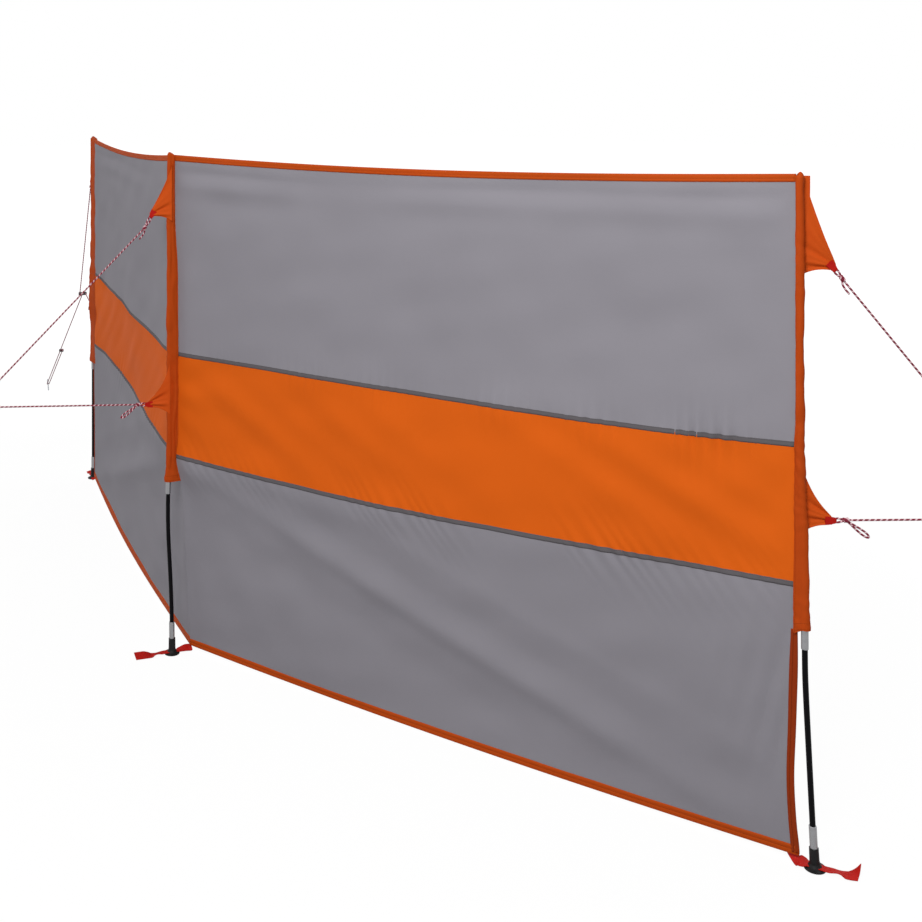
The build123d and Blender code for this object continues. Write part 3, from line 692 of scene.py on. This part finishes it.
def webbing_finish(name, colour):
    """Webbing: ribs along its length, crossed by a slanted weave, on a UV map in metres, with slow fading."""
    tone = np.array(colour[:3])
    material, tree, shader = new_finish(name, colour, {"Roughness": 0.66, "Specular IOR Level": 0.12})
    place = cut_place(tree)
    ribs = bands(tree, place, RIB_PITCH, "X")
    turned = add_node(tree, "ShaderNodeMapping", {"Vector": place, "Rotation": (0, 0, 0.9)}).outputs["Vector"]
    twill = bands(tree, turned, TWILL_PITCH, "X")
    emboss(tree, shader, reckon(tree, "ADD", ribs, twill), 0.0002, 0.5)
    fading = object_noise(tree, (30, 30, 30), 3.0)
    tint(tree, shader, fading, (*(tone * 0.82), 1), (*np.clip(tone * 1.1, 0, 1), 1))
    return material


def ribbon(name, path, across, half_width, material, thickness, curl=0):
    """A strip of webbing: a path of points widened both ways along its own cross direction. A curl lifts one
    side by the square of the way out to its edge."""
    side = np.linspace(-1, 1, 11)
    points = path[:, None] + side[None, :, None] * (half_width[:, None] * across)[:, None]
    points = points + (np.clip(side, 0, 1) ** 2 * np.atleast_1d(curl)[:, None])[..., None] * UP
    strip = grid_piece(name, points, side * half_width.max(), path_length(path), material)
    thicken(strip, thickness)
    return strip


def smooth_path(stops, count):
    """A smooth line through a few stops: cubic curves, with the slope between its neighbours at a stop."""
    stops = np.array(stops, float)
    slope = np.gradient(stops, axis=0)
    place = np.linspace(0, len(stops) - 1, count)
    first = np.minimum(place.astype(int), len(stops) - 2)
    t = (place - first)[:, None]
    start, end = stops[first], stops[first + 1]
    return ((1 + 2 * t) * (1 - t) ** 2 * start + t * (1 - t) ** 2 * slope[first]
            + t**2 * (3 - 2 * t) * end + t**2 * (t - 1) * slope[first + 1])


red_webbing = webbing_finish("red_webbing", screen_colour(184, 26, 18))
for pole in POLES:
    setback = np.linalg.norm(FEET[pole] - CORNERS[pole])
    way = (FEET[pole] - CORNERS[pole]) / setback
    aside = np.cross(UP, way)
    sewn_run, tail_run = SEWN_RUNS[pole], TAIL_RUNS[pole]
    # The right strap runs to a point along the cloth, leans forwards, veers off and turns up at its end.
    facing, sewn_roll, edge_bend, point, veer, turn_up = -1, 25, 0, 0, 0, 0
    beside_corner, beside_foot = -0.0030, 0
    if pole == "right":
        facing, sewn_roll, edge_bend, point, veer, turn_up = 1, 14, 0.56, 0.6, 0.55, 0.013
        beside_corner, beside_foot = -0.0050, -0.0050
    stops = [(-setback - sewn_run, beside_corner + edge_bend * sewn_run, 0.005 + 0.10 * sewn_run),
             (-setback - sewn_run / 2, beside_corner + edge_bend * sewn_run / 2, 0.003 + 0.05 * sewn_run),
             (-setback, beside_corner, 0.0020), (-0.5 * setback - 0.012, beside_foot, 0.0050),
             (-0.022, 0.8 * beside_foot, 0.0062), (0, 0, 0.0060), (0.022, 0, 0.0062),
             (0.034, 0.006 * veer, 0.0046), (0.050, 0.014 * veer, 0.0030), (0.072, 0.024 * veer, 0.0030),
             (tail_run, 0.033 * veer, 0.0036)]
    local = smooth_path(stops, 120)
    run = local[:, 0]
    spread = np.clip(np.where(run < 0, (-run - 0.013) / 0.008, (run - 0.019) / 0.030), 0, 1)
    half_width = (SLOT_WIDTH + (STRAP_WIDTH - SLOT_WIDTH) * spread * spread * (3 - 2 * spread)) / 2
    half_width = half_width * (1 - 0.30 * hump(run, 0.048, 0.014)) * (1 + 0.12 * (facing - 1) * (run < 0))
    shown = np.clip((run + setback + sewn_run) / (sewn_run + 0.010), 0.05, 1) ** point
    local[:, 1] += half_width * (1 - shown)
    half_width = half_width * shown
    sewn = np.clip((-run - 0.014) / (0.6 * setback), 0, 1)
    loose = np.clip((run - 0.055) / 0.03, 0, 1)
    roll = np.radians(sewn_roll) * sewn * sewn * (3 - 2 * sewn) + np.radians(14) * loose
    roll = facing * (roll - np.radians(12) * hump(run, 0.048, 0.014))
    across = np.cos(roll)[:, None] * aside + np.sin(roll)[:, None] * UP
    rise = local[:, 2] + np.abs(np.sin(roll)) * half_width
    path = FEET[pole] + local[:, :1] * way + local[:, 1:2] * aside + rise[:, None] * UP
    curl = turn_up * np.clip((run - 0.066) / 0.020, 0, 1) ** 2
    strap = ribbon(f"{pole}_strap_webbing", path, across, half_width, red_webbing, STRAP_THICKNESS, curl)
    seat(strap, f"{pole}_foot_strap")

# Guy patches
# Triangles of the sleeve's own cloth, two to a pole, sewn to its side, or round its front high on the middle
# pole. The rope pulls each to a point, so that its edges are hollow and soft creases run to the tip. The upper
# one on each end pole runs on upwards as a narrow strip beside the sleeve.
TIPS = {(pole, "upper"): np.array([0.06525, 1.318]) for pole in POLES}
TIPS |= {(pole, "lower"): np.array([0.05825, 0.764]) for pole in POLES}
TIPS["middle", "upper"] = np.array([0.0605, 1.331])
TIPS["right", "upper"] = np.array([0.0610, 1.3130])
TIPS["middle", "lower"] = np.array([0.0720, 0.758])
LEVELS = ("upper", "lower")
TIP_HALF = 0.009
PATCH_THICKNESS = 0.0011
KNOT_WEIGHT = 0.5
STRIP_EDGE = 0.0160
STRIP_HEIGHTS = (1.466, 1.5115)
JUNCTION_REACH = {"left": 0.330, "middle": 0.589, "right": 0.509}
JUNCTION_HEIGHT = 0.772
patch_cloth = woven("orange_patch", screen_colour(200, 78, 18), CLOTH_THREAD)


def pull_of(pole, level_name):
    """The rope's pull at a patch's tip, as its reach along the guy and its rise. The weight of the knot turns
    the upper one of the middle pole down a little."""
    pull = np.array([JUNCTION_REACH[pole], JUNCTION_HEIGHT]) - TIPS[pole, level_name]
    pull = pull / np.linalg.norm(pull) - (0, KNOT_WEIGHT * (pole == "middle" and level_name == "upper"))
    return pull / np.linalg.norm(pull)


def hollow_line(start, end, hollow, count):
    """A line between two points that bows to its left by a share of its length, as part of a parabola."""
    t = np.linspace(0, 1, count)[:, None]
    chord = np.subtract(end, start)
    return np.array(start) + t * chord + 4 * t * (1 - t) * hollow * np.array([-chord[1], chord[0]])


for pole in POLES:
    way = GUY_WAYS[pole]
    side = np.cross(UP, way)
    for level_name in LEVELS:
        tip = TIPS[pole, level_name]
        pull = pull_of(pole, level_name)
        lift = np.array([-pull[1], pull[0]]) * TIP_HALF
        bowed = pole_axis(pole, tip[1]) - BASES[pole]
        wrapped = pole == "middle" and level_name == "upper"
        root_x = bowed @ way + (-0.0095 if wrapped else 0.001)
        root_low = np.array([root_x, tip[1] - (0.022 if level_name == "upper" else 0.030)])
        root_high = np.array([root_x, tip[1] + (0.160 if level_name == "upper" else 0.124)])
        bow = -0.03 if level_name == "upper" else -0.08
        rim = [hollow_line(root_low, tip - lift, 0.10, 24), hollow_line(tip - lift, tip + lift, 0, 9)[1:]]
        if level_name == "upper" and pole != "middle":
            root_high = np.array([root_x, STRIP_HEIGHTS[1]])
            shoulder = (STRIP_EDGE, STRIP_HEIGHTS[0])
            rim += [hollow_line(tip + lift, shoulder, 0.01, 26)[1:],
                    hollow_line(shoulder, (STRIP_EDGE, STRIP_HEIGHTS[1]), 0, 14)[1:]]
        else:
            rim += [hollow_line(tip + lift, root_high, -bow, 40)[1:]]
        rim = np.concatenate(rim)
        passed = path_length(rim)[:, None] / path_length(rim)[-1]
        spine = root_low + passed * (root_high - root_low)
        u = np.linspace(0, 1, 26)[None, :, None]
        flat = spine[:, None] + u * (rim - spine)[:, None]
        spread = np.clip((flat[..., 0] - root_x) / (tip[0] - root_x), 0, 1)
        fan = np.arctan2(flat[..., 1] - tip[1], tip[0] + 0.012 - flat[..., 0])
        stand = (bowed @ side + (0.0150 if wrapped else 0.0110)) * (1 - spread) ** 1.4
        creases = 0.0040 * np.sin(10 * fan + POLES.index(pole)) + 0.0018 * np.sin(23 * fan + 1)
        stand = stand + creases * spread * (1 - spread) ** 0.7 * 2
        stand = stand - 0.011 * wrapped * np.clip(1 - (flat[..., 0] - root_x) / 0.006, 0, 1) ** 2
        points = BASES[pole] + flat[..., :1] * way + stand[..., None] * side + flat[..., 1:] * UP
        patch = grid_piece(f"{pole}_{level_name}_guy_patch", points, u[0, :, 0] * tip[0], path_length(rim),
                           patch_cloth)
        thicken(patch, PATCH_THICKNESS)
        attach(patch, "root")
        if level_name == "upper":
            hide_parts(f"{pole}_guy_patches")

# Guy loops
# Red webbing folded round the rope and sewn to both faces of the patch's tip. The rope gathers it to about
# half its width at the fold.
EYE_DISTANCE = 0.007
ROPE_RADIUS = 0.0023
LOOP_THICKNESS = 0.0010


def tip_frame(pole, level_name):
    """A patch's tip in space, the rope's pull there, and the way across the webbing."""
    pull = pull_of(pole, level_name)
    reach, rise = TIPS[pole, level_name]
    place = BASES[pole] + reach * GUY_WAYS[pole] + rise * UP
    return place, pull[0] * GUY_WAYS[pole] + pull[1] * UP, pull[0] * UP - pull[1] * GUY_WAYS[pole]


for pole in POLES:
    side = np.cross(UP, GUY_WAYS[pole])
    for level_name in LEVELS:
        place, direction, across = tip_frame(pole, level_name)
        turn = np.linspace(np.pi / 2, -np.pi / 2, 15)
        bend = ROPE_RADIUS + LOOP_THICKNESS
        fold = np.stack([EYE_DISTANCE + bend * np.cos(turn), bend * np.sin(turn)], -1)
        line = np.concatenate([[(-0.014, 0.0014), (-0.008, 0.0015), (-0.002, 0.0019), (0.003, 0.0026)], fold,
                               [(0.003, -0.0026), (-0.002, -0.0019), (-0.008, -0.0015), (-0.014, -0.0014)]])
        path = place + line[:, :1] * direction + line[:, 1:] * side
        gather = np.clip((line[:, 0] + 0.006) / 0.014, 0, 1)
        half_width = 0.0090 - 0.0038 * gather
        loop = ribbon(f"{pole}_{level_name}_guy_loop", path, np.tile(across, (len(path), 1)), half_width,
                      red_webbing, LOOP_THICKNESS)
        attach(loop, "root")
        if level_name == "upper":
            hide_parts(f"{pole}_guy_loops")

# Guy lines
# Crimson braided cord with pale pink flecks. Each leg is tied in an eye through its webbing loop, and the two
# legs meet at a runner plate. One line goes on from there, round the peg and back up to the tensioner.
KNOT_DISTANCE = 0.024
JUNCTION_SPREAD = 0.013
GUY_REACH = 1.780
PEG_LOOP_HEIGHT = 0.034
PEG_TURN = 0.0058
TENSIONER_SHARE = 0.58
RUNNER_THICKNESS = 0.005
KNOT_RADIUS = 0.0045
LONG_EYE = 0.014
EYE_HALF = 0.0042
BIGHT_LENGTH = 0.062
BRAID_LAY = 0.0125
FLECK_SHARE = 0.36
HITCH = {"radius": 0.0034, "pitch": 0.0042, "turns": 2.6}
STOP_KNOT = {"radius": 0.0028, "pitch": 0.0040, "turns": 2.2}
braid, tree, shader = new_finish("flecked_braid", screen_colour(176, 44, 66),
                                 {"Roughness": 0.66, "Specular IOR Level": 0.25})
place = cut_place(tree)
split = add_node(tree, "ShaderNodeSeparateXYZ", {"Vector": place})
turns = reckon(tree, "DIVIDE", split.outputs["X"], 2 * np.pi * ROPE_RADIUS)
lay = reckon(tree, "DIVIDE", split.outputs["Y"], BRAID_LAY)
part = reckon(tree, "FRACT", reckon(tree, "ADD", turns, lay))
fleck = reckon(tree, "LESS_THAN", part, FLECK_SHARE)
tint(tree, shader, fleck, screen_colour(132, 34, 56), screen_colour(228, 192, 198))
crossed = add_node(tree, "ShaderNodeTexChecker", {"Scale": 1.0})
turned = add_node(tree, "ShaderNodeMapping", {"Vector": place, "Rotation": (0, 0, np.pi / 4),
                                              "Scale": (900, 900, 1)})
tree.links.new(turned.outputs["Vector"], crossed.inputs["Vector"])
emboss(tree, shader, crossed.outputs["Fac"], 0.0003, 0.5)


def rope(name, path, reference, radius=ROPE_RADIUS, sides=10):
    """A round cord along a path: a circle carried along it, square to the path, turned to a reference way."""
    heading = np.gradient(path, axis=0)
    heading /= np.linalg.norm(heading, axis=1, keepdims=True)
    first = np.cross(heading, reference)
    first /= np.linalg.norm(first, axis=1, keepdims=True)
    second = np.cross(heading, first)
    angle = np.linspace(0, 2 * np.pi, sides, endpoint=False)
    points = path[:, None] + radius * (np.cos(angle)[None, :, None] * first[:, None]
                                       + np.sin(angle)[None, :, None] * second[:, None])
    around = np.linspace(0, 2 * np.pi * radius, sides + 1)
    cord = grid_piece(name, points, around, path_length(path), braid, round_columns=True, capped=True)
    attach(cord, "root")
    return cord


def teardrop_loop(start, direction, across, length, half_width, count=48):
    """A loop that leaves a point, widens and closes on it again: over an angle a from -180 to 180 degrees its
    reach is length (1 + cos a) / 2 and its width half_width sin a (cos a/2)^2 / 0.65."""
    angle = np.linspace(-np.pi, np.pi, count)
    reach = length * (1 + np.cos(angle)) / 2
    width = half_width * np.sin(angle) * np.cos(angle / 2) ** 2 / 0.65
    return start + reach[:, None] * direction + width[:, None] * across


def wraps(middle, axis, side, radius, pitch, turns, count=56):
    """Turns of cord wound round an axis: a helix that starts at a side and climbs by a pitch each turn."""
    angle = np.linspace(0, 2 * np.pi * turns, count)
    third = np.cross(axis, side)
    climb = (angle / (2 * np.pi) - turns / 2) * pitch
    return (middle + radius * (np.cos(angle)[:, None] * side + np.sin(angle)[:, None] * third)
            + climb[:, None] * axis)


for pole in POLES:
    way = GUY_WAYS[pole]
    side = np.cross(UP, way)
    start = BASES[pole] + JUNCTION_REACH[pole] * way + JUNCTION_HEIGHT * UP
    end = BASES[pole] + GUY_REACH * way + PEG_LOOP_HEIGHT * UP
    run = (end - start) / np.linalg.norm(end - start)
    behind = RUNNER_THICKNESS / 2 + KNOT_RADIUS
    for level_name in LEVELS:
        tip, direction, across = tip_frame(pole, level_name)
        eye_length = KNOT_DISTANCE + LONG_EYE * (pole == "middle" and level_name == "upper")
        tied = tip + (EYE_DISTANCE + eye_length) * direction
        hole = start + (JUNCTION_SPREAD if level_name == "upper" else -JUNCTION_SPREAD) * side
        leg = (hole - tied) / np.linalg.norm(hole - tied)
        stop = hole + leg * behind / (leg @ run)
        straight = tied + np.linspace(0, 1, 24)[:, None] * (stop - tied)
        rope(f"{pole}_{level_name}_leg", straight, side)
        eye = teardrop_loop(tied, -direction, across, eye_length, EYE_HALF)
        rope(f"{pole}_{level_name}_eye", eye, side)
        hitch = wraps(tied, direction, side, **HITCH)
        rope(f"{pole}_{level_name}_hitch", hitch, direction)
        if level_name == "upper":
            stops = [tied, tied - 0.012 * UP + 0.001 * way, tied - 0.022 * UP + 0.006 * way,
                     tied - 0.034 * UP + 0.016 * way]
            rope(f"{pole}_{level_name}_tail", smooth_path(stops, 24), side)
        else:
            hang = 0.80 * way - 0.60 * UP
            bight = teardrop_loop(tied, hang, np.cross(side, hang), BIGHT_LENGTH, EYE_HALF)
            rope(f"{pole}_{level_name}_bight", bight, side)
        knob = wraps(stop, leg, side, **STOP_KNOT)
        rope(f"{pole}_{level_name}_stop_knot", knob, leg)
    near = start - run * behind
    centre = end - PEG_TURN * side
    turn = np.linspace(0, np.pi, 21)[:, None]
    bend = centre + PEG_TURN * (np.cos(turn) * side + np.sin(turn) * run)
    back = end - 2 * PEG_TURN * side
    length = np.linalg.norm(end - start)
    back_stop = back - run * (length * (1 - TENSIONER_SHARE) + behind)
    share = np.linspace(0, 1, 40)[:, None]
    main = np.concatenate([near + share[:-1] * (end - near), bend, back + share[1:] * (back_stop - back)])
    rope(f"{pole}_main_line", main, np.cross(side, run))
    for number, spot in enumerate((near, back_stop)):
        rope(f"{pole}_line_knot_{number}", wraps(spot, run, side, **STOP_KNOT), run)
    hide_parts(f"{pole}_guy_lines")

# Runners
# Flat black plastic plates that the cord is threaded through. One joins the two legs, and the other grips the
# doubled line, so that it can be drawn tight.
runner_plastic, tree, shader = new_finish("runner_plastic", screen_colour(26, 25, 27), {"Coat Weight": 0.1})
scuffs = object_noise(tree, (500, 500, 500), 4.0)
vary(tree, shader, scuffs, "Roughness", 0.36, 0.58)
tint(tree, shader, scuffs, screen_colour(19, 18, 20), screen_colour(38, 37, 39))
emboss(tree, shader, scuffs, 0.0002, 0.2)
for pole in POLES:
    finish_node(f"{pole}_line_runners", runner_plastic)

# Ground pegs
# Steel rod bent to a hook at the top and driven into the ground square to the rope, which turns round it. The
# zinc has gone dull and shows its grain.
peg_steel, tree, shader = new_finish("zinc_steel", screen_colour(170, 172, 175), {"Metallic": 1.0})
spangle = object_noise(tree, (320, 320, 320), 4.0)
vary(tree, shader, spangle, "Roughness", 0.34, 0.60)
tint(tree, shader, spangle, screen_colour(138, 140, 144), screen_colour(190, 192, 195))
emboss(tree, shader, spangle, 0.0002, 0.2)
for pole in POLES:
    finish_node(f"{pole}_ground_peg", peg_steel)

# Stage
# A pale floor that shows plain white, soft lamps, and the camera at the photograph's place: in front of the
# right bay, a little above the poles' tops.
FLOOR_SIZE = 80.0
FLOOR_LEVEL = -0.0005


def shown_rays(tree):
    """One where a ray comes from the camera, a mirror surface or through glass, else zero."""
    rays = add_node(tree, "ShaderNodeLightPath")
    seen = reckon(tree, "MAXIMUM", rays.outputs["Is Camera Ray"], rays.outputs["Is Glossy Ray"])
    return reckon(tree, "MAXIMUM", seen, rays.outputs["Is Transmission Ray"])


floor_points = FLOOR_SIZE * (np.stack(np.meshgrid([-0.5, 0.5], [-0.5, 0.5]), -1))
floor_points = np.concatenate([floor_points, np.full((2, 2, 1), FLOOR_LEVEL)], -1)
floor_white, tree, shader = new_finish("floor_white", (0.36, 0.36, 0.36, 1),
                                       {"Roughness": 0.9, "Specular IOR Level": 0.1})
spot = add_node(tree, "ShaderNodeTexCoord").outputs["Object"]
away = add_node(tree, "ShaderNodeVectorMath", {0: spot}, operation="LENGTH")
fade = add_node(tree, "ShaderNodeMapRange", {"Value": away.outputs["Value"], "From Min": 2.5, "From Max": 6.0,
                                             "To Min": 0.88, "To Max": 1.0})
shown = reckon(tree, "MULTIPLY", shown_rays(tree), fade.outputs["Result"])
glow = add_node(tree, "ShaderNodeEmission", {"Color": (1, 1, 1, 1), "Strength": 1.09})
blend = add_node(tree, "ShaderNodeMixShader", {0: shown, 1: shader.outputs["BSDF"],
                                               2: glow.outputs["Emission"]})
tree.links.new(blend.outputs["Shader"], tree.nodes["Material Output"].inputs["Surface"])
floor = grid_piece("floor", floor_points, np.array([0.0, 1.0]), np.array([0.0, 1.0]), floor_white)

world = bpy.data.worlds.new("studio")
bpy.context.scene.world = world
world.use_nodes = True
tree = world.node_tree
strength = add_node(tree, "ShaderNodeMapRange", {"Value": shown_rays(tree), "To Min": 0.45, "To Max": 1.0})
sky = tree.nodes["Background"]
sky.inputs["Color"].default_value = (1, 1, 1, 1)
tree.links.new(strength.outputs["Result"], sky.inputs["Strength"])


def softbox(name, place, target, size, power):
    """A square area lamp at a place, turned to a target."""
    lamp = bpy.data.lights.new(name, "AREA")
    lamp.size = size
    lamp.energy = power
    holder = bpy.data.objects.new(name, lamp)
    bpy.context.scene.collection.objects.link(holder)
    holder.location = place
    aim = np.subtract(target, place)
    holder.rotation_euler = Vector(aim).to_track_quat("-Z", "Y").to_euler()


softbox("key_lamp", (2.7, -2.2, 3.5), (1.2, 0.3, 1.0), 1.4, 112)
softbox("fill_lamp", (-4.0, -3.6, 3.3), (-0.8, 0.2, 0.9), 2.5, 62)
softbox("back_lamp", (0.5, 5.0, 4.0), (0.0, 0.3, 0.8), 3.0, 90)

FRAME_PIXELS = 922.0
CAMERA_PLACE = (3.2859, -1.868, 1.6717)
CAMERA_YAW = -54.485
CAMERA_PITCH = 0.041
FOCAL_PIXELS = 1239.3
PRINCIPAL = (300.0, 103.0)
camera = bpy.data.cameras.new("camera")
camera.sensor_width = 36.0
camera.lens = FOCAL_PIXELS / FRAME_PIXELS * camera.sensor_width
camera.shift_x = (FRAME_PIXELS / 2 - PRINCIPAL[0]) / FRAME_PIXELS
camera.shift_y = (PRINCIPAL[1] - FRAME_PIXELS / 2) / FRAME_PIXELS
camera.clip_end = 200.0
viewer = bpy.data.objects.new("camera", camera)
bpy.context.scene.collection.objects.link(viewer)
viewer.location = CAMERA_PLACE
viewer.rotation_euler = (np.radians(90 - CAMERA_PITCH), 0, np.radians(-CAMERA_YAW))
bpy.context.scene.camera = viewer
bpy.context.scene.view_settings.view_transform = "Standard"
